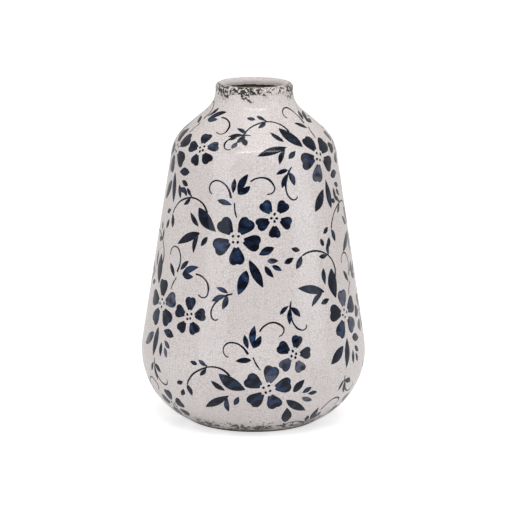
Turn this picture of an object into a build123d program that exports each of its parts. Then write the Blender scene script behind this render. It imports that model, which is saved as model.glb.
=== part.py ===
from build123d import *
import math
import os

# A pottery vase: a thin-walled clay body, with a white glaze coat over its outside and lip and a brown
# liner glaze inside. Millimetres, +Z up. The origin is the centre of the foot, on the surface that the
# vase stands on. The vase is a body of revolution, so each piece is drawn as half of its section in
# the XZ plane and turned about Z.

# Overall form, measured on the glazed outside. Angles are in degrees.
HEIGHT = 280.0  # foot to the crest of the lip
FOOT_RADIUS = 54.0  # outer edge of the foot
UNDERSIDE_ANGLE = 29.5  # how steeply the underside rises from the foot
BELLY_ROUND = 61.5  # radius of the belly's curve, seen in section
WALL_LEAN = 8.9  # how far the long wall leans in as it rises
SHOULDER_RADIUS = 65.75  # where the lines of the wall and the shoulder would meet
SHOULDER_HEIGHT = 234.5
SHOULDER_ROUND = 33.0
NECK_RADIUS = 31.1  # where the lines of the shoulder and the neck would meet
NECK_HEIGHT = 264.4
NECK_ROUND = 21.5
NECK_FLARE = 3.0  # how far the neck opens towards the lip

# Wall
WALL = 6.0  # outside to inside, square to the wall
FLOOR_HEIGHT = 8.5  # top of the floor, above the table
MOUTH_RADIUS = 23.8
MOUTH_ROUND = 10.0  # where the mouth opens into the shoulder, inside
LIP_ROUND = 3.9
FLOOR_ROUND = 14.0  # between the floor and the underside, inside

# Foot ring
FOOT_INNER_RADIUS = 46.0
FOOT_RECESS = 2.5
FOOT_RECESS_SLOPE = 2.0  # how far the recess's edge slopes in
FOOT_EDGE_ROUND = 0.8

# Glaze
GLAZE = 0.5  # thickness of both coats
GLAZE_LINE = 1.4  # the foot is bare below this height
LINER_LINE = HEIGHT - 7.0  # the white coat laps over the lip and ends here, inside the mouth

OUTSIDE_SIZE = 400.0  # larger than the vase, for cutting its section


def along(angle):
    """The direction at this angle above the horizontal."""
    return Vector(math.cos(math.radians(angle)), math.sin(math.radians(angle)))


def crossing(point_a, direction_a, point_b, direction_b):
    """Where two straight lines of the section cross."""
    gap = point_b - point_a
    turn = direction_a.X * direction_b.Y - direction_a.Y * direction_b.X
    return point_a + direction_a * ((gap.X * direction_b.Y - gap.Y * direction_b.X) / turn)


def inwards(point, direction):
    """A point of the outside, moved through the wall. The direction is the outside's, going up."""
    return point + Vector(-direction.Y, direction.X) * WALL


foot = Vector(FOOT_RADIUS, 0)
shoulder = Vector(SHOULDER_RADIUS, SHOULDER_HEIGHT)
neck = Vector(NECK_RADIUS, NECK_HEIGHT)
level = along(0)
upright = along(90)
underside_line = along(UNDERSIDE_ANGLE)
wall_line = along(90 + WALL_LEAN)
shoulder_line = (neck - shoulder).normalized()
neck_line = along(90 - NECK_FLARE)


def foot_corners():
    """The underside of the foot, axis to outer edge."""
    return [
        Vector(0, FOOT_RECESS),
        Vector(FOOT_INNER_RADIUS - FOOT_RECESS_SLOPE, FOOT_RECESS),
        Vector(FOOT_INNER_RADIUS, 0),
    ]


def outer_corners():
    """The outside, foot to lip."""
    belly = crossing(foot, underside_line, shoulder, wall_line)
    lip = crossing(neck, neck_line, Vector(0, HEIGHT), level)
    return [foot, belly, shoulder, neck, lip]


def inner_corners():
    """The inside, mouth to floor, one wall's thickness in from the outside."""
    mouth = Vector(MOUTH_RADIUS, HEIGHT)
    floor = Vector(0, FLOOR_HEIGHT)
    under = inwards(foot, underside_line)
    side = inwards(shoulder, wall_line)
    top = inwards(neck, shoulder_line)
    return [
        mouth,
        crossing(mouth, upright, top, shoulder_line),
        crossing(top, shoulder_line, side, wall_line),
        crossing(side, wall_line, under, underside_line),
        crossing(under, underside_line, floor, level),
        floor,
    ]


def finished_section():
    """The whole wall with its glaze, as half of a section. Every corner off the axis is rounded."""
    points = [*foot_corners(), *outer_corners(), *inner_corners()]
    foot_ring = [FOOT_EDGE_ROUND, FOOT_EDGE_ROUND]
    outside = [FOOT_EDGE_ROUND, BELLY_ROUND, SHOULDER_ROUND, NECK_ROUND, LIP_ROUND]
    inside = [LIP_ROUND, MOUTH_ROUND, SHOULDER_ROUND - WALL, BELLY_ROUND - WALL, FLOOR_ROUND]
    edge = FilletPolyline(*points, radius=[*foot_ring, *outside, *inside])
    axis = Line(points[-1], points[0])
    return Plane.XZ * make_face([*edge.edges(), axis])


def block(low_radius, high_radius, low, high):
    """A rectangle of the section's half plane, between two radii and two heights."""
    middle = ((low_radius + high_radius) / 2, 0, (low + high) / 2)
    return Pos(*middle) * (Plane.XZ * Rectangle(high_radius - low_radius, high - low))


def clay_section(finished):
    """The wall without its glaze. The foot ring and the recess inside it are bare."""
    both_halves = finished + mirror(finished, Plane.YZ)
    shrunk = offset(both_halves, amount=-GLAZE, kind=Kind.INTERSECTION)
    half = shrunk & block(0, OUTSIDE_SIZE, -OUTSIDE_SIZE, OUTSIDE_SIZE)
    foot_ring = finished & block(0, OUTSIDE_SIZE, 0, GLAZE_LINE)
    recess = finished & block(0, FOOT_INNER_RADIUS, 0, FLOOR_HEIGHT - GLAZE)
    return half + foot_ring + recess


def split_glaze(glaze):
    """The white coat and the liner, which meet at a level line inside the mouth."""
    above = glaze & block(0, OUTSIDE_SIZE, LINER_LINE, HEIGHT)
    below = glaze & block(0, OUTSIDE_SIZE, 0, LINER_LINE)
    liner, outside = below.faces().sort_by(Axis.X)
    return above + outside, liner


def make_piece(name, face):
    """Turns a section about Z and writes it as a piece of its own."""
    piece = revolve(face, Axis.Z, 360)
    piece.label = name
    export_step(piece, f"parts/{name}.step")
    print(f"{name}: {piece.volume / 1000:.1f} cm3, one valid solid: {piece.is_valid and len(piece.solids()) == 1}")


os.makedirs("parts", exist_ok=True)
finished = finished_section()
clay = clay_section(finished)
coat, liner = split_glaze(finished - clay)
make_piece("clay_body", clay)
make_piece("outer_glaze", coat)
make_piece("inner_glaze", liner)
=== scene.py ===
"""The looks of the crackle-glazed vase: glaze, painted sprays, studio light and camera.

Metres and radians, in the CAD model's frame. The tables of sprays and lights are in millimetres and
degrees, as they say. Azimuth is 0 at the front (-Y) and grows towards +X. A place on the outside is an
azimuth and a rise: the distance up the wall's curve from the foot's edge.
"""

import math

import bmesh
import bpy
import numpy as np
from mathutils import Matrix, Vector

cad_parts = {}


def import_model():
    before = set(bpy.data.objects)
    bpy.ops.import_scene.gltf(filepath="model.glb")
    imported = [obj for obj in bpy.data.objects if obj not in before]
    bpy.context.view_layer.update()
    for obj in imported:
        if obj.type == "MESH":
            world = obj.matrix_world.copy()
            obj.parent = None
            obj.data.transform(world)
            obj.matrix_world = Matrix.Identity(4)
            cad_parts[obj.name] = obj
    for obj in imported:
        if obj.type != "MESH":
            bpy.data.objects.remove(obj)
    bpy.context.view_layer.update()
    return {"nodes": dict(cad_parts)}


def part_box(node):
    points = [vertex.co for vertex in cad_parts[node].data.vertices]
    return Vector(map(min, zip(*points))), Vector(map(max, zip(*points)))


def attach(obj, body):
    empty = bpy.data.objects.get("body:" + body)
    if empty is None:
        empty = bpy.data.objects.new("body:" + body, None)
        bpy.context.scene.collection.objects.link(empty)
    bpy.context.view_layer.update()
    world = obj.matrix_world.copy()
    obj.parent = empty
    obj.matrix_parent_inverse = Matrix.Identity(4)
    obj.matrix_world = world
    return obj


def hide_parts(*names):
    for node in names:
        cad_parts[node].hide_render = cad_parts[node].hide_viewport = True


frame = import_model()
random = np.random.default_rng(7)
MM = 0.001

# The section of the glazed wall. Levels come from the frame, and the rest repeats the CAD model's design.
GLAZE_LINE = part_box("outer_glaze")[0].z
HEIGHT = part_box("outer_glaze")[1].z
LINER_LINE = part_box("inner_glaze")[1].z
GLAZE = 0.5 * MM
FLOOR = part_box("inner_glaze")[0].z + GLAZE
WALL = 6.0 * MM
FOOT = np.array([54.0, 0.0]) * MM
SHOULDER = np.array([65.75, 234.5]) * MM
NECK = np.array([31.1, 264.4]) * MM
MOUTH_RADIUS = 23.8 * MM
UNDERSIDE_ANGLE = math.radians(29.5)
WALL_LEAN = math.radians(8.9)
NECK_FLARE = math.radians(3.0)
BELLY_ROUND = 61.5 * MM
SHOULDER_ROUND = 33.0 * MM
NECK_ROUND = 21.5 * MM
LIP_ROUND = 3.9 * MM
MOUTH_ROUND = 10.0 * MM
FLOOR_ROUND = 14.0 * MM

INSET = 0.15 * MM  # the glaze's mean surface lies this far inside the CAD box, to leave room for the paint
UNEVENNESS = 0.06 * MM  # how far the hand-finished wall strays from a true round
PAINT_RELIEF = 0.07 * MM
PAINT_SINK = 0.03 * MM  # the edge of a stroke lies this far under the glaze's surface


# ---------------------------------------------------------------- the wall's section

def along(angle):
    return np.array([math.cos(angle), math.sin(angle)])


def crossing(point_a, direction_a, point_b, direction_b):
    """Where two straight lines cross."""
    steps = np.linalg.solve(np.column_stack([direction_a, -direction_b]), point_b - point_a)
    return point_a + direction_a * steps[0]


def inwards(point, direction, distance):
    return point + np.array([-direction[1], direction[0]]) * distance


def rounded_path(corners, rounds, step):
    """Points no further apart than step, along a path whose corners are rounded by arcs."""
    knots = [corners[0]]
    for before, corner, after, radius in zip(corners, corners[1:], corners[2:], rounds):
        arriving = (corner - before) / np.linalg.norm(corner - before)
        leaving = (after - corner) / np.linalg.norm(after - corner)
        turn = math.atan2(arriving[0] * leaving[1] - arriving[1] * leaving[0], arriving @ leaving)
        side = np.array([-arriving[1], arriving[0]]) * math.copysign(1, turn)
        start = corner - arriving * radius * math.tan(abs(turn) / 2)
        centre = start + side * radius
        count = max(4, math.ceil(radius * abs(turn) / step))
        for angle in np.linspace(0, turn, count + 1):
            spin = np.array([[math.cos(angle), -math.sin(angle)], [math.sin(angle), math.cos(angle)]])
            knots.append(centre - spin @ side * radius)
    knots.append(corners[-1])
    path = [knots[0]]
    for a, b in zip(knots, knots[1:]):
        count = max(1, math.ceil(np.linalg.norm(b - a) / step))
        path.extend(a + (b - a) * k / count for k in range(1, count + 1))
    return np.array(path)


UNDERSIDE_LINE = along(UNDERSIDE_ANGLE)
WALL_LINE = along(math.pi / 2 + WALL_LEAN)
SHOULDER_LINE = (NECK - SHOULDER) / np.linalg.norm(NECK - SHOULDER)
NECK_LINE = along(math.pi / 2 - NECK_FLARE)
LEVEL = along(0)
UPRIGHT = along(math.pi / 2)
OUTER_STEP = 0.5 * MM  # how closely points follow the section
INNER_STEP = 3 * MM


def outer_path():
    """Up the outside from the foot's edge, over the lip and down to the liner."""
    corners = [
        FOOT,
        crossing(FOOT, UNDERSIDE_LINE, SHOULDER, WALL_LINE),
        SHOULDER,
        NECK,
        crossing(NECK, NECK_LINE, np.array([0, HEIGHT]), LEVEL),
        np.array([MOUTH_RADIUS, HEIGHT]),
        np.array([MOUTH_RADIUS, LINER_LINE]),
    ]
    rounds = [BELLY_ROUND, SHOULDER_ROUND, NECK_ROUND, LIP_ROUND, LIP_ROUND]
    return rounded_path(corners, rounds, OUTER_STEP)


def inner_path():
    """Down the inside from the white coat's edge, and across the floor to the axis."""
    under = inwards(FOOT, UNDERSIDE_LINE, WALL)
    side = inwards(SHOULDER, WALL_LINE, WALL)
    top = inwards(NECK, SHOULDER_LINE, WALL)
    corners = [
        np.array([MOUTH_RADIUS, LINER_LINE]),
        crossing(np.array([MOUTH_RADIUS, 0]), UPRIGHT, top, SHOULDER_LINE),
        crossing(top, SHOULDER_LINE, side, WALL_LINE),
        crossing(side, WALL_LINE, under, UNDERSIDE_LINE),
        crossing(under, UNDERSIDE_LINE, np.array([0, FLOOR]), LEVEL),
        np.array([0, FLOOR]),
    ]
    rounds = [MOUTH_ROUND, SHOULDER_ROUND - WALL, BELLY_ROUND - WALL, FLOOR_ROUND]
    return rounded_path(corners, rounds, INNER_STEP)


class Curve:
    """A section's path with its arc length and the normal that points away from the clay."""

    def __init__(self, path):
        self.path = path
        steps = np.linalg.norm(np.diff(path, axis=0), axis=1)
        self.rise = np.concatenate([[0], np.cumsum(steps)])
        heading = np.gradient(path, self.rise, axis=0)
        heading /= np.linalg.norm(heading, axis=1)[:, None]
        self.heading = heading
        self.normal = np.column_stack([heading[:, 1], -heading[:, 0]])

    def at(self, values, rise):
        return np.stack([np.interp(rise, self.rise, values[:, k]) for k in range(2)], -1)


outside = Curve(outer_path())
inside = Curve(inner_path())


def unevenness(azimuth, rise):
    """Soft hollows and rises of a hand-finished wall, from -1 to 1."""
    height = rise / MM
    return (
        0.34 * np.sin(2 * azimuth + 0.021 * height + 0.4)
        + 0.26 * np.sin(3 * azimuth - 0.083 * height + 2.1)
        + 0.2 * np.sin(5 * azimuth + 0.117 * height + 1.0)
        + 0.2 * np.sin(0.205 * height + 0.8 * np.sin(2 * azimuth))
    )


def place(curve, azimuth, rise, lift):
    """Points on a section's curve turned to an azimuth, and raised square to the surface."""
    azimuth, rise, lift = np.broadcast_arrays(azimuth, rise, lift)
    point = curve.at(curve.path, rise)
    normal = curve.at(curve.normal, rise)
    radius = point[..., 0] + normal[..., 0] * lift
    height = point[..., 1] + normal[..., 1] * lift
    return np.stack([radius * np.sin(azimuth), -radius * np.cos(azimuth), height], -1)


def on_glaze(azimuth, rise, lift):
    """Points on or near the white coat's uneven surface."""
    return place(outside, azimuth, rise, lift - INSET + UNEVENNESS * unevenness(azimuth, rise))


# ---------------------------------------------------------------- meshes

COAT_COLUMNS = 320
COAT_ROWS = 205  # rings between the coat's two rounded edges
HIDDEN_ROWS = 60  # rings of the coat's hidden face, against the clay
COAT_EDGE = 1.5 * MM  # how far the coat's edges take to round off
EDGE_WANDER = 0.8 * MM  # how unevenly the coat ends above the foot
EDGE_WANDER_REACH = 4 * MM
LINER_COLUMNS = 160
LINER_ROWS = 110
LINER_CAP = 1 * MM  # radius of the flat cap at the liner's centre
CLAY_GAP = 0.02 * MM  # keeps the glazes' hidden faces off the clay


def new_piece(name, points, faces, material):
    """A smooth-shaded piece that rides on the vase."""
    mesh = bpy.data.meshes.new(name)
    mesh.from_pydata(points.tolist(), [], faces)
    mesh.shade_smooth()
    piece = bpy.data.objects.new(name, mesh)
    bpy.context.scene.collection.objects.link(piece)
    mesh.materials.append(material)
    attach(piece, "root")
    return piece


def ring_faces(rows, columns):
    """Quads between rings of points. The last ring joins the first."""
    faces = []
    for row in range(rows):
        below = row * columns
        above = (row + 1) % rows * columns
        for column in range(columns):
            following = (column + 1) % columns
            faces.append((below + column, below + following, above + following, above + column))
    return faces


def outer_glaze(material):
    """The white coat as a closed shell, with a soft uneven edge above the bare foot."""
    azimuth = np.linspace(0, 2 * math.pi, COAT_COLUMNS, endpoint=False)
    start = GLAZE_LINE / math.sin(UNDERSIDE_ANGLE)
    end = outside.rise[-1]
    near_edge = np.array([0, 0.12, 0.35, 0.7, 1.0]) * COAT_EDGE
    body = np.linspace(start + 2 * COAT_EDGE, end - 2 * COAT_EDGE, COAT_ROWS)
    rises = np.concatenate([start + near_edge, body, end - near_edge[::-1]])
    slow_wave = 0.28 * np.sin(9 * azimuth + 0.5)
    quick_wave = 0.22 * np.sin(23 * azimuth + 2 * np.sin(4 * azimuth))

    def ring(rise, lift):
        fading = math.exp(-(rise - start) / EDGE_WANDER_REACH)
        uneven = EDGE_WANDER * (0.5 + slow_wave + quick_wave) * fading
        return on_glaze(azimuth, rise + uneven, lift)

    rings = []
    for rise in rises:
        from_edge = min(rise - start, end - rise)
        roundness = math.sqrt(max(0, 1 - (1 - min(1, from_edge / COAT_EDGE)) ** 2))
        rings.append(ring(rise, -(GLAZE - INSET) * (1 - roundness)))
    for rise in np.linspace(end, start, HIDDEN_ROWS)[1:-1]:
        rings.append(ring(rise, -(GLAZE - INSET - CLAY_GAP)))
    faces = ring_faces(len(rings), COAT_COLUMNS)
    piece = new_piece("outer_glaze_coat", np.concatenate(rings), faces, material)
    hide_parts("outer_glaze")


def inner_glaze(material):
    """The brown liner as a closed shell."""
    azimuth = np.linspace(0, 2 * math.pi, LINER_COLUMNS, endpoint=False)
    last = inside.rise[-1] - LINER_CAP
    downwards = np.linspace(0, last, LINER_ROWS)
    rings = [place(inside, azimuth, rise, 0.0) for rise in downwards]
    rings += [place(inside, azimuth, rise, CLAY_GAP - GLAZE) for rise in reversed(downwards)]
    faces = ring_faces(len(rings), LINER_COLUMNS)
    # The rings that meet near the axis are capped instead of joined
    meeting = (LINER_ROWS - 1) * LINER_COLUMNS
    under = meeting + LINER_COLUMNS
    del faces[meeting:under]
    faces.append(tuple(range(meeting, under)))
    faces.append(tuple(reversed(range(under, under + LINER_COLUMNS))))
    piece = new_piece("inner_glaze_liner", np.concatenate(rings), faces, material)
    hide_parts("inner_glaze")


# ---------------------------------------------------------------- one painted spray

# All in millimetres on a flat sheet, from the middle of the large flower: x to the right, y up.

# Petals are an angle in degrees, the distances of their two ends from the flower's middle, and a width.
LARGE_FLOWER = ((-0.3, 0.4), [
    (57, 5.3, 20.0, 13.6),
    (131, 5.5, 19.8, 13.4),
    (207, 5.1, 20.1, 13.7),
    (275, 6.0, 21.0, 12.3),
    (350, 6.1, 20.3, 13.6),
], [(-2.3, 2.3), (2.2, 2.4), (-2.0, -2.5), (1.8, -2.4)])
SMALL_FLOWER = ((30.3, 18.3), [
    (53, 5.2, 15.9, 10.5),
    (129, 4.7, 16.0, 10.6),
    (205, 4.5, 15.8, 10.2),
    (274, 6.0, 16.2, 9.8),
    (341, 5.0, 15.4, 10.5),
], [(0.1, 3.0), (-2.5, -0.3), (1.9, -0.3), (0.2, -2.8)])

# Leaves are a base, a tip, a width, and how far the midrib bows to the left as a share of the length.
LEAVES = [
    ((18.6, -11.6), (31.0, -5.4), 6.8, 0.02),
    ((25.4, -16.2), (34.7, -15.8), 4.7, 0.0),
    ((29.5, -19.8), (37.8, -23.8), 4.2, 0.02),
    ((23.8, -20.2), (31.2, -29.4), 4.6, -0.03),
    ((11.1, -15.8), (23.0, -37.6), 7.6, 0.0),
    ((9.4, -24.2), (3.2, -44.2), 8.8, 0.02),
    ((-17.0, 5.5), (-33.8, 24.2), 10.8, 0.05),
    ((-33.4, 8.9), (-42.3, 19.8), 4.8, 0.04),
    ((-31.6, 3.7), (-56.3, -6.3), 7.2, -0.02),
    ((-33.4, 2.4), (-37.5, -13.0), 4.5, -0.08),
    ((-24.3, 1.1), (-30.5, -6.7), 4.6, 0.0),
    ((-4.2, 27.5), (-16.9, 30.8), 4.5, -0.02),
    ((-3.6, 36.8), (-2.4, 48.7), 4.4, 0.02),
    ((0.6, 35.8), (8.1, 52.6), 5.7, 0.07),
    ((0.9, 35.9), (10.2, 43.2), 5.2, -0.05),
    ((-42.2, 32.4), (-48.0, 39.2), 3.9, 0.0),
    ((-50.0, 35.4), (-56.4, 39.0), 4.2, 0.0),
    ((-42.8, 31.1), (-50.8, 25.5), 4.0, 0.04),
    ((-66.2, 18.0), (-65.0, 6.2), 5.0, 0.03),
    ((-69.6, 20.8), (-77.2, 18.4), 4.3, 0.0),
    ((-71.6, 13.1), (-76.6, 5.2), 4.7, 0.03),
    ((40.6, 56.8), (30.6, 52.9), 3.8, -0.05),
    ((40.9, 54.6), (35.7, 42.2), 4.5, -0.03),
    ((41.5, 55.0), (46.8, 44.1), 4.9, 0.05),
]

# Tendrils are widths at the start, middle and end, and the points that they pass through.
TENDRILS = [
    ((0.9, 1.2, 0.8), [(-2.2, 29.6), (-1.8, 24.0), (-0.9, 20.0), (0.2, 17.0)]),
    ((1.6, 1.1, 0.9), [(-5.0, 32.4), (-7.0, 39.0), (-11.2, 44.2), (-17.5, 46.5), (-22.3, 44.5),
                       (-24.1, 40.5), (-23.4, 37.2), (-21.3, 35.2)]),
    ((1.1, 1.4, 0.8), [(9.8, 46.4), (14.2, 49.1), (20.2, 50.1), (25.5, 48.2), (29.4, 43.4),
                       (29.5, 40.0), (27.2, 37.6), (23.2, 36.8)]),
    ((1.5, 1.2, 1.3), [(-25.4, 19.4), (-26.7, 23.0), (-29.9, 27.3), (-35.5, 30.5), (-42.0, 31.6),
                       (-49.5, 30.4), (-56.8, 27.5), (-62.8, 22.5), (-66.0, 17.8)]),
    ((1.3, 1.3, 0.8), [(39.2, 48.0), (38.9, 45.0), (39.3, 41.0), (41.2, 36.3), (45.0, 33.2), (48.4, 33.6),
                       (50.0, 36.4)]),
    ((0.9, 1.4, 1.5), [(43.9, 59.6), (42.2, 56.9), (41.0, 54.6), (40.4, 52.0)]),
    ((1.2, 1.4, 1.2), [(-42.2, 31.6), (-42.3, 33.0), (-42.8, 34.2)]),
]

# Half of a petal's edge, inner end to outer: the share of its length, and of half its width.
PETAL_EDGE = [(0.07, 0.0), (0.0, 0.28), (0.2, 0.58), (0.45, 0.88), (0.68, 1.0), (0.87, 0.9), (0.99, 0.56),
              (0.985, 0.25), (0.94, 0.0)]

# Where a stroke's points lie across it: 0 on its spine and 1 on its edges
BROAD_RIMS = np.array([-1, -0.86, -0.5, 0, 0.5, 0.86, 1])
DOT_RIMS = np.array([-1, -0.7, 0, 0.7, 1])
TENDRIL_RIMS = np.array([-1, -0.5, 0, 0.5, 1])
DOT_RADIUS = 1.2

# How far a stroke reaches to each side of its spine, as a share of its width
PETAL_REACH = 0.54
LEAF_REACH = 0.53
TENDRIL_REACH = 0.7
PETAL_POINTS = 22
PETAL_SPINE_START = 0.16  # shares of the petal's length
PETAL_SPINE_LENGTH = 0.6
LEAF_STEP = 1.2
LEAF_FULLNESS = 0.82  # below 1 makes a leaf blunter than a sine curve
TENDRIL_STEP = 0.9
TENDRIL_TAPER = 0.8  # length of its rounded ends
LINE_STEPS = 16  # points between two given ones, when a line is smoothed

# How much copies of a stroke differ, as a hand would make them
PETAL_WIDTH_SPREAD = 0.06
PETAL_SWELL = 0.05
LEAF_WIDEST = (0.44, 0.56)  # where along the leaf
LEAF_SIDES = (0.94, 1.06)  # share of the width
TENDRIL_WAVES = (9, 14)  # radians of uneven pressure along it
TENDRIL_PRESSURE = 0.12
DOT_STRETCH = (1.0, 1.25)


def smooth_line(points, count):
    """Points along a smooth curve through the given ones, evenly spread."""
    points = np.asarray(points, float)
    before = 2 * points[0] - points[1]
    after = 2 * points[-1] - points[-2]
    padded = np.vstack([before, points, after])
    t = np.linspace(0, 1, LINE_STEPS, endpoint=False)[:, None]
    spans = []
    for p0, p1, p2, p3 in zip(padded, padded[1:], padded[2:], padded[3:]):
        spans.append(
            p1 + 0.5 * t * (p2 - p0)
            + t ** 2 * (p0 - 2.5 * p1 + 2 * p2 - 0.5 * p3)
            + t ** 3 * (1.5 * (p1 - p2) + 0.5 * (p3 - p0))
        )
    dense = np.vstack([*spans, points[-1:]])
    travel = np.concatenate([[0], np.cumsum(np.linalg.norm(np.diff(dense, axis=0), axis=1))])
    even = np.linspace(0, travel[-1], count)
    return np.column_stack([np.interp(even, travel, dense[:, k]) for k in range(dense.shape[1])])


def fill(left, right, spine, rims):
    """A grid of points across a stroke, from its left edge over its spine to its right edge."""
    across = []
    for rim in rims:
        edge = left if rim < 0 else right
        across.append(spine + (edge - spine) * abs(rim))
    return np.stack(across, axis=1)


def turned(lines, angle, middle):
    """Lines turned by an angle and moved to a middle."""
    turn = np.array([[math.cos(angle), math.sin(angle)], [-math.sin(angle), math.cos(angle)]])
    return [np.asarray(middle) + line @ turn for line in lines]


def petal(middle, angle, near, far, width):
    """A petal's left edge, right edge and spine. Leaves, tendrils and dots give the same three lines."""
    edge = smooth_line(PETAL_EDGE, PETAL_POINTS)
    length = far - near
    jitter = 1 + PETAL_WIDTH_SPREAD * random.standard_normal(2)
    swell = random.uniform(-PETAL_SWELL, PETAL_SWELL)
    out = near + length * edge[:, 0]
    half = PETAL_REACH * width * edge[:, 1]
    left = np.column_stack([out * (1 + swell * edge[:, 1] * 0.5), half * jitter[0]])
    right = np.column_stack([out * (1 - swell * edge[:, 1] * 0.5), -half * jitter[1]])
    share = np.linspace(0, 1, len(edge))
    spine = np.column_stack([near + length * (PETAL_SPINE_START + PETAL_SPINE_LENGTH * share), 0 * share])
    return turned((left, right, spine), angle, middle)


def leaf(base, tip, width, bow):
    """A pointed leaf round a bowed midrib."""
    base = np.asarray(base, float)
    tip = np.asarray(tip, float)
    length = np.linalg.norm(tip - base)
    forward = (tip - base) / length
    side = np.array([-forward[1], forward[0]])
    share = np.linspace(0, 1, max(9, round(length / LEAF_STEP)))
    midrib = base + np.outer(share, tip - base) + np.outer(4 * share * (1 - share) * bow * length, side)
    widest = random.uniform(*LEAF_WIDEST)
    warped = share ** (math.log(0.5) / math.log(widest))
    shape = np.sin(math.pi * warped) ** LEAF_FULLNESS
    half = LEAF_REACH * width * shape[:, None]
    left = midrib + half * side * random.uniform(*LEAF_SIDES)
    right = midrib - half * side * random.uniform(*LEAF_SIDES)
    return [left, right, midrib]


def tendril(widths, points):
    """A thin curl with round ends, whose width follows the brush's pressure."""
    length = np.linalg.norm(np.diff(points, axis=0), axis=1).sum()
    count = max(6, round(length / TENDRIL_STEP))
    middle = smooth_line(points, count)
    heading = np.gradient(middle, axis=0)
    heading /= np.linalg.norm(heading, axis=1)[:, None]
    side = np.column_stack([-heading[:, 1], heading[:, 0]])
    share = np.linspace(0, 1, count)
    pressure = 1 + TENDRIL_PRESSURE * np.sin(share * random.uniform(*TENDRIL_WAVES) + 1)
    brush = np.interp(share, [0, 0.5, 1], widths) * pressure
    ends = np.sqrt(np.clip(np.minimum(share, 1 - share) * length / TENDRIL_TAPER, 0, 1))
    half = (brush * ends * TENDRIL_REACH)[:, None] * side
    return [middle + half, middle - half, middle]


def dot(middle, radius):
    """A slightly oval dot."""
    angle = np.linspace(0, math.pi, 7)
    long_way = radius * random.uniform(*DOT_STRETCH)
    upper = np.column_stack([-long_way * np.cos(angle), radius * np.sin(angle)])
    lower = upper * [1, -1]
    spine = upper * [0.6, 0]
    return turned((upper, lower, spine), random.uniform(0, math.pi), middle)


def spray_strokes():
    """Every stroke of one spray: its three lines, its rims and how pale its wash may be."""
    strokes = []
    for middle, petals, dots in (LARGE_FLOWER, SMALL_FLOWER):
        for degrees, near, far, width in petals:
            strokes.append((petal(middle, math.radians(degrees), near, far, width), BROAD_RIMS, 1.0))
        for x, y in dots:
            strokes.append((dot((middle[0] + x, middle[1] + y), DOT_RADIUS), DOT_RIMS, 0.1))
    for base, tip, width, bow in LEAVES:
        strokes.append((leaf(base, tip, width, bow), BROAD_RIMS, 1.0))
    for widths, points in TENDRILS:
        strokes.append((tendril(widths, points), TENDRIL_RIMS, 0.3))
    return strokes


# ---------------------------------------------------------------- sprays on the vase

# Sprays go on in five rows of three, and the lowest row is trimmed by the foot. A spray is the rise of its
# large flower in mm, and that flower's azimuth and the spray's turn in degrees. The nine that the photo
# shows stand where they do there, and the rest continue the rows round the back.
SPRAYS = [
    (243.7, 51.4, -20), (245.0, 170.0, -18), (246.5, -71.9, -16),
    (182.0, -10.6, 0), (177.0, 106.0, 5), (180.0, -132.0, 3),
    (121.0, -59.9, -36), (113.5, 58.4, -39), (117.0, 178.0, -37),
    (61.5, 7.3, 20), (61.5, 127.0, 18), (61.5, -113.0, 21),
    (2.4, -64.2, 31), (-8.6, 65.3, 52), (-3.0, -177.0, 40),
]
PAINT_STARTS = 7.0 * MM  # nothing is painted nearer to the foot than this rise
LAYING_STEPS = 48
WASHES = [0.2, 0.5, 0.85, 1.0]  # how pale a stroke's wash is, and how often each happens
WASH_SHARES = [0.3, 0.35, 0.28, 0.07]
SEAM = 0.002 * MM  # points nearer than this are one


def wall_radius(rise):
    """The radius and its slope at a rise. Below the foot the underside's line goes on."""
    radius = np.interp(rise, outside.rise, outside.path[:, 0])
    slope = np.interp(rise, outside.rise, outside.heading[:, 0])
    below = rise < 0
    radius = np.where(below, FOOT[0] + rise * math.cos(UNDERSIDE_ANGLE), radius)
    return radius, slope


def lay_on_wall(sheet, azimuth, rise, turn):
    """Lays flat points on the wall as a soft transfer lies, along the shortest lines from its middle."""
    distance = np.linalg.norm(sheet, axis=-1)
    heading = np.arctan2(sheet[..., 1], sheet[..., 0]) + turn
    azimuths = np.full(distance.shape, float(azimuth))
    rises = np.full(distance.shape, float(rise))
    step = distance / LAYING_STEPS
    for _ in range(LAYING_STEPS):
        radius, slope = wall_radius(rises)
        halfway = heading + slope * np.cos(heading) / radius * step / 2
        radius, slope = wall_radius(rises + np.sin(heading) * step / 2)
        azimuths = azimuths + np.cos(halfway) / radius * step
        rises = rises + np.sin(halfway) * step
        heading = heading + slope * np.cos(halfway) / radius * step
    return azimuths, rises


def stroke_faces(rows, columns, first):
    """A stroke's painted faces, and one face under each row of them to close it."""
    painted = []
    under = []
    for row in range(rows - 1):
        start = first + row * columns
        for corner in range(start, start + columns - 1):
            painted.append((corner, corner + 1, corner + columns + 1, corner + columns))
        under.append((start, start + columns, start + 2 * columns - 1, start + columns - 1))
    return painted, under


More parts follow.
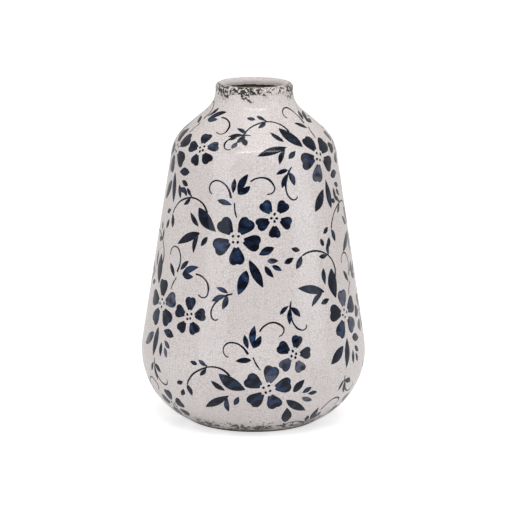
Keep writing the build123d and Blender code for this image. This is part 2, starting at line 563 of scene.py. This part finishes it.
def spray(name, azimuth, rise, turn, material):
    """One spray as thin closed strokes of paint on the glaze, in one mesh."""
    points, painted, under, rims, washes, brush = [], [], [], [], [], []
    count = 0
    for (left, right, spine), rim_steps, most_wash in spray_strokes():
        wash = random.choice(WASHES, p=WASH_SHARES) * most_wash
        offset = random.uniform(0, 100, 2)
        sheet = fill(left, right, spine, rim_steps)
        azimuths, rises = lay_on_wall(sheet * MM, azimuth, rise, turn)
        if rises.min() < PAINT_STARTS:
            continue
        lift = PAINT_RELIEF * (1 - rim_steps ** 4) - PAINT_SINK * (np.abs(rim_steps) == 1)
        points.append(on_glaze(azimuths, rises, lift).reshape(-1, 3))
        stroke_painted, stroke_under = stroke_faces(*rises.shape, count)
        painted.extend(stroke_painted)
        under.extend(stroke_under)
        rims.append(np.broadcast_to(np.abs(rim_steps), rises.shape).ravel())
        washes.append(np.full(rises.size, wash))
        flat = np.concatenate([sheet + offset, np.zeros((*rises.shape, 1))], -1)
        brush.append(flat.reshape(-1, 3))
        count += rises.size
    piece = new_piece(name, np.concatenate(points), painted + under, material)
    for attribute, values in (("rim", rims), ("wash", washes)):
        layer = piece.data.attributes.new(attribute, "FLOAT", "POINT")
        layer.data.foreach_set("value", np.concatenate(values).astype(np.float32))
    layer = piece.data.attributes.new("brush", "FLOAT_VECTOR", "POINT")
    layer.data.foreach_set("vector", np.concatenate(brush).astype(np.float32).ravel())
    smooth = [True] * len(painted) + [False] * len(under)
    piece.data.polygons.foreach_set("use_smooth", smooth)
    close_seams(piece.data)


def close_seams(mesh):
    """Joins points that meet, where a stroke's two edges run into one."""
    work = bmesh.new()
    work.from_mesh(mesh)
    bmesh.ops.remove_doubles(work, verts=work.verts, dist=SEAM)
    work.to_mesh(mesh)
    work.free()


def all_sprays(material):
    for number, (rise, azimuth, turn) in enumerate(SPRAYS, 1):
        name = f"painted_spray_{number:02d}"
        spray(name, math.radians(azimuth), rise * MM, math.radians(turn), material)


# ---------------------------------------------------------------- materials

class Nodes:
    """A small helper for building the node tree of a material or a world."""

    def __init__(self, owner, shader="Principled BSDF"):
        owner.use_nodes = True
        self.owner = owner
        self.tree = owner.node_tree
        self.shader = self.tree.nodes[shader]

    def add(self, kind, inputs=None, **settings):
        node = self.tree.nodes.new(kind)
        for key, value in settings.items():
            setattr(node, key, value)
        for key, value in (inputs or {}).items():
            self.put(node.inputs[key], value)
        return node

    def put(self, socket, value):
        if isinstance(value, bpy.types.NodeSocket):
            self.tree.links.new(value, socket)
        else:
            socket.default_value = value

    def maths(self, operation, *values, clamp=False):
        node = self.add("ShaderNodeMath", operation=operation, use_clamp=clamp)
        for socket, value in zip(node.inputs, values):
            self.put(socket, value)
        return node.outputs[0]

    def blend(self, share, a, b):
        """A colour that goes from a to b as share goes from 0 to 1."""
        node = self.add("ShaderNodeMix", data_type="RGBA")
        self.put(node.inputs["Factor"], share)
        self.put(node.inputs["A"], a)
        self.put(node.inputs["B"], b)
        return node.outputs["Result"]

    def range(self, value, low, high, to_low=0.0, to_high=1.0):
        inputs = {"Value": value, "From Min": low, "From Max": high, "To Min": to_low, "To Max": to_high}
        return self.add("ShaderNodeMapRange", inputs, interpolation_type="SMOOTHSTEP").outputs["Result"]

    def noise(self, vector, scale, detail=2.0, roughness=0.5):
        inputs = {"Vector": vector, "Scale": scale, "Detail": detail, "Roughness": roughness}
        return self.add("ShaderNodeTexNoise", inputs).outputs["Fac"]

    def voronoi_edge(self, vector, scale):
        inputs = {"Vector": vector, "Scale": scale, "Randomness": 0.85}
        return self.add("ShaderNodeTexVoronoi", inputs, feature="DISTANCE_TO_EDGE").outputs["Distance"]

    def vector(self, operation, inputs):
        return self.add("ShaderNodeVectorMath", inputs, operation=operation).outputs[0]

    def place(self):
        return self.add("ShaderNodeTexCoord").outputs["Object"]

    def radius_and_height(self, place_on_vase):
        """The distance from the vase's axis, and the height above the foot."""
        parts = self.add("ShaderNodeSeparateXYZ", {"Vector": place_on_vase}).outputs
        x_squared = self.maths("MULTIPLY", parts["X"], parts["X"])
        y_squared = self.maths("MULTIPLY", parts["Y"], parts["Y"])
        return self.maths("SQRT", self.maths("ADD", x_squared, y_squared)), parts["Z"]

    def finish(self, colour, roughness, normal):
        self.put(self.shader.inputs["Base Color"], colour)
        self.put(self.shader.inputs["Roughness"], roughness)
        self.put(self.shader.inputs["Normal"], normal)

    def bump(self, height, distance, strength=1.0, normal=None):
        inputs = {"Height": height, "Distance": distance, "Strength": strength}
        node = self.add("ShaderNodeBump", inputs)
        if normal is not None:
            self.put(node.inputs["Normal"], normal)
        return node.outputs["Normal"]


FINE_CRACKLE = 430.0  # cells per metre
WIDE_CRACKLE = 130.0
CRACK_WANDER = 1.3 * MM
CRACK_DEPTH = 0.02 * MM
PEEL_DEPTH = 0.1 * MM
GLAZE_IOR = 1.5

# Iron specks fade in or out between these distances from the axis and these heights
LIP_SPECK_RADII = (26.8 * MM, 28.4 * MM)
LIP_SPECKS = (HEIGHT - 8.5 * MM, HEIGHT - 5.5 * MM)
SPECK_RUNS = (HEIGHT - 17.5 * MM, HEIGHT - 7.0 * MM)
FOOT_SPECKS = (6.0 * MM, 21.0 * MM)
COARSE_TO_FINE_SPECKS = (30.0 * MM, 50.0 * MM)

# Where the white coat is darkened to brown just above the liner's edge in the mouth, which raises the dark
# edge seen in the mouth
MOUTH_BAND_RADII = (24.6 * MM, 25.2 * MM)
MOUTH_BAND_REACH = 2.0 * MM
MOUTH_BAND_FADE = 0.8 * MM

# Grey smears where glaze was wiped off the foot's outer edge
SMEAR_RADII = (51.5 * MM, 53.2 * MM)
SMEAR_HEIGHTS = (0.0, 0.4 * MM)

# Colours
BODY_DULL = (0.675, 0.628, 0.608, 1)
BODY_PALE = (0.725, 0.682, 0.667, 1)
CRACK_STAIN = (0.30, 0.22, 0.175, 1)
SPECK_HALO = (0.36, 0.33, 0.25, 1)
SPECK_BLACK = (0.004, 0.004, 0.002, 1)
SPECK_BROWN = (0.03, 0.024, 0.013, 1)
MOUTH_BAND_BROWN = (0.06, 0.028, 0.014, 1)
INK_DARK = (0.0012, 0.0016, 0.0055, 1)
INK_LIGHT = (0.0024, 0.0038, 0.0125, 1)
COBALT = (0.029, 0.067, 0.155, 1)
THIN_GREY = (0.115, 0.117, 0.158, 1)
PAINT_CRACK = (0.16, 0.16, 0.18, 1)
PAINT_FLECK = (0.33, 0.36, 0.44, 1)
LINER_DARK = (0.016, 0.008, 0.004, 1)
LINER_BROWN = (0.03, 0.016, 0.009, 1)
LINER_MOTTLE = (0.075, 0.042, 0.022, 1)
CLAY_DARK = (0.50, 0.37, 0.26, 1)
CLAY_PALE = (0.62, 0.49, 0.37, 1)
CLAY_GROG = (0.16, 0.09, 0.055, 1)
SMEAR_PALE = (0.36, 0.34, 0.30, 1)
SMEAR_DARK = (0.03, 0.026, 0.018, 1)


def crackle(nodes, place_on_vase):
    """The net of fine cracks: 1 in a crack and 0 between cracks."""
    wander = nodes.add("ShaderNodeTexNoise", {"Vector": place_on_vase, "Scale": 160.0, "Detail": 2.0})
    centred = nodes.vector("SUBTRACT", {0: wander.outputs["Color"], 1: (0.5, 0.5, 0.5)})
    shift = nodes.vector("SCALE", {0: centred, "Scale": CRACK_WANDER})
    moved = nodes.vector("ADD", {0: place_on_vase, 1: shift})
    fine = nodes.range(nodes.voronoi_edge(moved, FINE_CRACKLE), 0.02, 0.14, 1.0, 0.0)
    wide = nodes.range(nodes.voronoi_edge(moved, WIDE_CRACKLE), 0.006, 0.022, 0.5, 0.0)
    patchy = nodes.range(nodes.noise(place_on_vase, 45.0, 2.0), 0.3, 0.7, 0.7, 1.0)
    fine = nodes.maths("MULTIPLY", fine, patchy)
    return nodes.maths("MAXIMUM", fine, wide)


def glaze_bump(nodes, place_on_vase, cracks):
    """Shallow grooves along the cracks over a slight orange peel."""
    peel = nodes.bump(nodes.noise(place_on_vase, 70.0, 1.0), PEEL_DEPTH, 0.35)
    return nodes.bump(nodes.maths("MULTIPLY", cracks, -1.0), CRACK_DEPTH, 0.35, peel)


def speck_bands(nodes, place_on_vase, radius, height):
    """How thickly iron specks lie: round the lip's outer edge, in runs down from it, and round the foot."""
    patches = nodes.range(nodes.noise(place_on_vase, 62.0, 1.0), 0.40, 0.54)
    clumps = nodes.maths("MULTIPLY_ADD", patches, 0.22, 0.86)
    dense = nodes.maths("MULTIPLY", nodes.range(height, *LIP_SPECKS), clumps)
    runs = nodes.maths("MULTIPLY", nodes.range(height, *SPECK_RUNS), patches)
    at_lip = nodes.maths("MAXIMUM", dense, runs)
    at_lip = nodes.maths("MULTIPLY", at_lip, nodes.range(radius, *LIP_SPECK_RADII))
    uneven = nodes.maths("MULTIPLY_ADD", patches, 0.3, 0.75)
    at_foot = nodes.maths("MULTIPLY", nodes.range(height, *FOOT_SPECKS, 1.0, 0.0), uneven)
    return nodes.maths("ADD", at_lip, at_foot)


def crackle_glaze():
    nodes = Nodes(bpy.data.materials.new("crackle_glaze"))
    place_on_vase = nodes.place()
    radius, height = nodes.radius_and_height(place_on_vase)
    cracks = crackle(nodes, place_on_vase)
    cloud = nodes.range(nodes.noise(place_on_vase, 22.0, 3.0), 0.35, 0.65)
    body = nodes.blend(cloud, BODY_DULL, BODY_PALE)
    stained = nodes.blend(nodes.maths("MULTIPLY", cracks, 0.38), body, CRACK_STAIN)
    banded = speck_bands(nodes, place_on_vase, radius, height)
    coarse = nodes.noise(place_on_vase, 300.0, 3.0, 0.7)
    fine = nodes.noise(place_on_vase, 455.0, 3.0, 0.68)
    grain = nodes.blend(nodes.range(height, *COARSE_TO_FINE_SPECKS), coarse, fine)
    threshold = nodes.maths("MULTIPLY_ADD", banded, -0.26, 0.75)
    specks = nodes.range(nodes.maths("SUBTRACT", grain, threshold), 0.0, 0.012)
    ground = nodes.blend(nodes.maths("MULTIPLY", banded, 0.1, clamp=True), stained, SPECK_HALO)
    tint = nodes.blend(nodes.noise(place_on_vase, 900.0, 1.0), SPECK_BLACK, SPECK_BROWN)
    colour = nodes.blend(specks, ground, tint)
    # The white coat is darkened to brown just above the liner's edge in the mouth, with an uneven top
    meeting = nodes.maths("MULTIPLY_ADD", nodes.noise(place_on_vase, 160.0, 2.0), MOUTH_BAND_REACH, LINER_LINE)
    above = nodes.maths("SUBTRACT", height, meeting)
    in_mouth = nodes.range(radius, *MOUTH_BAND_RADII, 1.0, 0.0)
    mouth_band = nodes.maths("MULTIPLY", in_mouth, nodes.range(above, 0.0, MOUTH_BAND_FADE, 1.0, 0.0))
    colour = nodes.blend(mouth_band, colour, MOUTH_BAND_BROWN)
    rough = nodes.maths("MULTIPLY_ADD", specks, 0.25, 0.06)
    rough = nodes.maths("MULTIPLY_ADD", cracks, 0.12, rough)
    nodes.finish(colour, rough, glaze_bump(nodes, place_on_vase, cracks))
    nodes.shader.inputs["IOR"].default_value = GLAZE_IOR
    nodes.shader.inputs["Specular IOR Level"].default_value = 0.4
    return nodes.owner


def painted_blue():
    """Cobalt under the glaze: near black along the edges, with pools of bluer wash inside."""
    nodes = Nodes(bpy.data.materials.new("painted_blue"))
    place_on_vase = nodes.place()
    cracks = crackle(nodes, place_on_vase)
    rim = nodes.add("ShaderNodeAttribute", attribute_name="rim").outputs["Fac"]
    wash = nodes.add("ShaderNodeAttribute", attribute_name="wash").outputs["Fac"]
    brush = nodes.add("ShaderNodeAttribute", attribute_name="brush").outputs["Vector"]
    # The wash lies in soft bands, wider than they are tall
    stretched = nodes.vector("MULTIPLY", {0: brush, 1: (0.65, 1.25, 1.0)})
    pools = nodes.range(nodes.noise(stretched, 0.17, 0.5), 0.42, 0.66)
    streaks = nodes.range(nodes.noise(stretched, 0.6, 2.0), 0.3, 0.7, 0.45, 1.0)
    inner = nodes.range(rim, 0.55, 0.96, 1.0, 0.0)
    flow = nodes.maths("MULTIPLY", streaks, pools)
    blueness = nodes.maths("MULTIPLY", flow, nodes.maths("MULTIPLY", inner, wash), clamp=True)
    blue = nodes.blend(blueness, nodes.blend(streaks, INK_DARK, INK_LIGHT), COBALT)
    # The palest strokes thin out to grey in places
    thin = nodes.range(nodes.noise(brush, 0.11, 0.5), 0.40, 0.58, 0.12, 0.75)
    thin = nodes.maths("MULTIPLY", thin, nodes.range(rim, 0.7, 1.0, 1.0, 0.15))
    greyness = nodes.maths("MULTIPLY", nodes.range(wash, 0.9, 1.0), thin)
    colour = nodes.blend(greyness, blue, THIN_GREY)
    colour = nodes.blend(nodes.maths("MULTIPLY", cracks, 0.03), colour, PAINT_CRACK)
    flecks = nodes.range(nodes.noise(brush, 0.95, 1.0), 0.73, 0.77, 0.0, 0.7)
    colour = nodes.blend(flecks, colour, PAINT_FLECK)
    rough = nodes.maths("MULTIPLY_ADD", cracks, 0.10, 0.06)
    nodes.finish(colour, rough, glaze_bump(nodes, place_on_vase, cracks))
    nodes.shader.inputs["IOR"].default_value = GLAZE_IOR
    nodes.shader.inputs["Specular IOR Level"].default_value = 0.26
    return nodes.owner


def liner_glaze():
    nodes = Nodes(bpy.data.materials.new("liner_glaze"))
    place_on_vase = nodes.place()
    mottle = nodes.range(nodes.noise(place_on_vase, 60.0, 4.0), 0.35, 0.7)
    dark = nodes.blend(nodes.noise(place_on_vase, 500.0, 2.0), LINER_DARK, LINER_BROWN)
    rough = nodes.range(mottle, 0.0, 1.0, 0.22, 0.36)
    ripples = nodes.bump(nodes.noise(place_on_vase, 90.0, 3.0), 0.3 * MM, 0.6)
    nodes.finish(nodes.blend(mottle, dark, LINER_MOTTLE), rough, ripples)
    nodes.shader.inputs["Specular IOR Level"].default_value = 0.25
    return nodes.owner


def fired_clay():
    nodes = Nodes(bpy.data.materials.new("fired_clay"))
    place_on_vase = nodes.place()
    grain = nodes.noise(place_on_vase, 1400.0, 3.0, 0.65)
    cloud = nodes.noise(place_on_vase, 35.0, 3.0)
    pale = nodes.blend(cloud, CLAY_DARK, CLAY_PALE)
    grog = nodes.range(nodes.noise(place_on_vase, 900.0, 1.0), 0.66, 0.72)
    colour = nodes.blend(nodes.maths("MULTIPLY", grog, 0.7), pale, CLAY_GROG)
    radius, height = nodes.radius_and_height(place_on_vase)
    wiped = nodes.maths("MULTIPLY", nodes.range(radius, *SMEAR_RADII), nodes.range(height, *SMEAR_HEIGHTS))
    smear = nodes.blend(nodes.range(grain, 0.4, 0.6), SMEAR_PALE, SMEAR_DARK)
    colour = nodes.blend(nodes.maths("MULTIPLY", wiped, 0.85), colour, smear)
    rough = nodes.range(grain, 0.3, 0.7, 0.78, 0.95)
    nodes.finish(colour, rough, nodes.bump(grain, 0.25 * MM, 0.8))
    return nodes.owner


def clay_body(material):
    """The CAD node itself, which stays in view."""
    node = frame["nodes"]["clay_body"]
    node.data.materials.clear()
    node.data.materials.append(material)


# ---------------------------------------------------------------- stage, light and camera

CAMERA_DISTANCE = 2.4
CAMERA_ELEVATION = 12.45  # degrees
CAMERA_TARGET = Vector((0.0007, 0, 0.1364))
CAMERA_LENS = 206.1  # mm
CAMERA_SENSOR = 36  # mm
CAMERA_ROLL = math.radians(0.2)

# Lights are a name, azimuth and elevation in degrees, distance, width, height, watts and colour.
LIGHTS = [
    ("left_strip", -42, 10, 1.6, 0.8, 1.8, 8.7, (0.82, 0.87, 1.0)),
    ("right_strip", 63, 10, 1.6, 0.85, 1.8, 8.0, (0.80, 0.86, 1.0)),
    ("overhead", 4, 71, 1.4, 1.0, 0.9, 4.8, (1, 1, 1)),
    ("overhead_edge", 9, 51.5, 1.4, 1.4, 0.06, 4.3, (1, 1, 1)),
]
STUDIO_COLOUR = (1.0, 0.965, 0.92, 1)
FLOOR_HALF = 30.0
FLOOR_PALE = (0.8, 0.8, 0.8, 1)


def from_angles(azimuth, elevation, distance):
    """The way from the vase out to a place, from its azimuth and elevation in degrees."""
    azimuth = math.radians(azimuth)
    elevation = math.radians(elevation)
    flat = math.cos(elevation)
    return Vector((math.sin(azimuth) * flat, -math.cos(azimuth) * flat, math.sin(elevation))) * distance


def camera():
    data = bpy.data.cameras.new("camera")
    data.lens = CAMERA_LENS
    data.sensor_width = CAMERA_SENSOR
    data.clip_end = 20
    viewer = bpy.data.objects.new("camera", data)
    bpy.context.scene.collection.objects.link(viewer)
    back = from_angles(0, CAMERA_ELEVATION, CAMERA_DISTANCE)
    viewer.location = CAMERA_TARGET + back
    aim = (-back).to_track_quat("-Z", "Y").to_matrix().to_4x4()
    viewer.rotation_euler = (aim @ Matrix.Rotation(CAMERA_ROLL, 4, "Z")).to_euler()
    bpy.context.scene.camera = viewer


def softbox(name, azimuth, elevation, distance, width, height, power, colour):
    """A rectangular studio light that faces the middle of the vase."""
    data = bpy.data.lights.new(name, "AREA")
    data.shape = "RECTANGLE"
    data.size = width
    data.size_y = height
    data.energy = power
    data.color = colour
    light = bpy.data.objects.new(name, data)
    light.visible_camera = False
    bpy.context.scene.collection.objects.link(light)
    back = from_angles(azimuth, elevation, distance)
    light.location = Vector((0, 0, HEIGHT / 2)) + back
    light.rotation_euler = (-back).to_track_quat("-Z", "Y").to_euler()


def world():
    """A studio that is dim near the front horizon, so that dark paint stays dark, and brighter elsewhere."""
    bpy.context.scene.world = bpy.data.worlds.new("studio")
    nodes = Nodes(bpy.context.scene.world, "Background")
    direction = nodes.add("ShaderNodeTexCoord").outputs["Generated"]
    parts = nodes.add("ShaderNodeSeparateXYZ", {"Vector": direction}).outputs
    from_above = nodes.range(parts["Z"], 0.2, 0.7, 0.12, 0.48)
    from_behind = nodes.range(parts["Y"], -0.75, -0.1, 0.10, 0.58)
    nodes.shader.inputs["Color"].default_value = STUDIO_COLOUR
    nodes.put(nodes.shader.inputs["Strength"], nodes.maths("MAXIMUM", from_above, from_behind))


def floor():
    """A broad pale sweep. It glows for the camera alone, as an overexposed studio floor looks."""
    mesh = bpy.data.meshes.new("floor")
    corners = [(x * FLOOR_HALF, y * FLOOR_HALF, 0) for x, y in ((-1, -1), (1, -1), (1, 1), (-1, 1))]
    mesh.from_pydata(corners, [], [(0, 1, 2, 3)])
    nodes = Nodes(bpy.data.materials.new("floor"))
    nodes.shader.inputs["Base Color"].default_value = FLOOR_PALE
    nodes.shader.inputs["Roughness"].default_value = 0.9
    nodes.shader.inputs["Specular IOR Level"].default_value = 0.1
    nodes.shader.inputs["Emission Color"].default_value = (1, 1, 1, 1)
    seen = nodes.add("ShaderNodeLightPath").outputs["Is Camera Ray"]
    nodes.put(nodes.shader.inputs["Emission Strength"], nodes.maths("MULTIPLY_ADD", seen, 0.44, 0.16))
    mesh.materials.append(nodes.owner)
    ground = bpy.data.objects.new("floor", mesh)
    bpy.context.scene.collection.objects.link(ground)


camera()
world()
floor()
for light in LIGHTS:
    softbox(*light)
bpy.context.scene.view_settings.view_transform = "Standard"

outer_glaze(crackle_glaze())
inner_glaze(liner_glaze())
clay_body(fired_clay())
all_sprays(painted_blue())
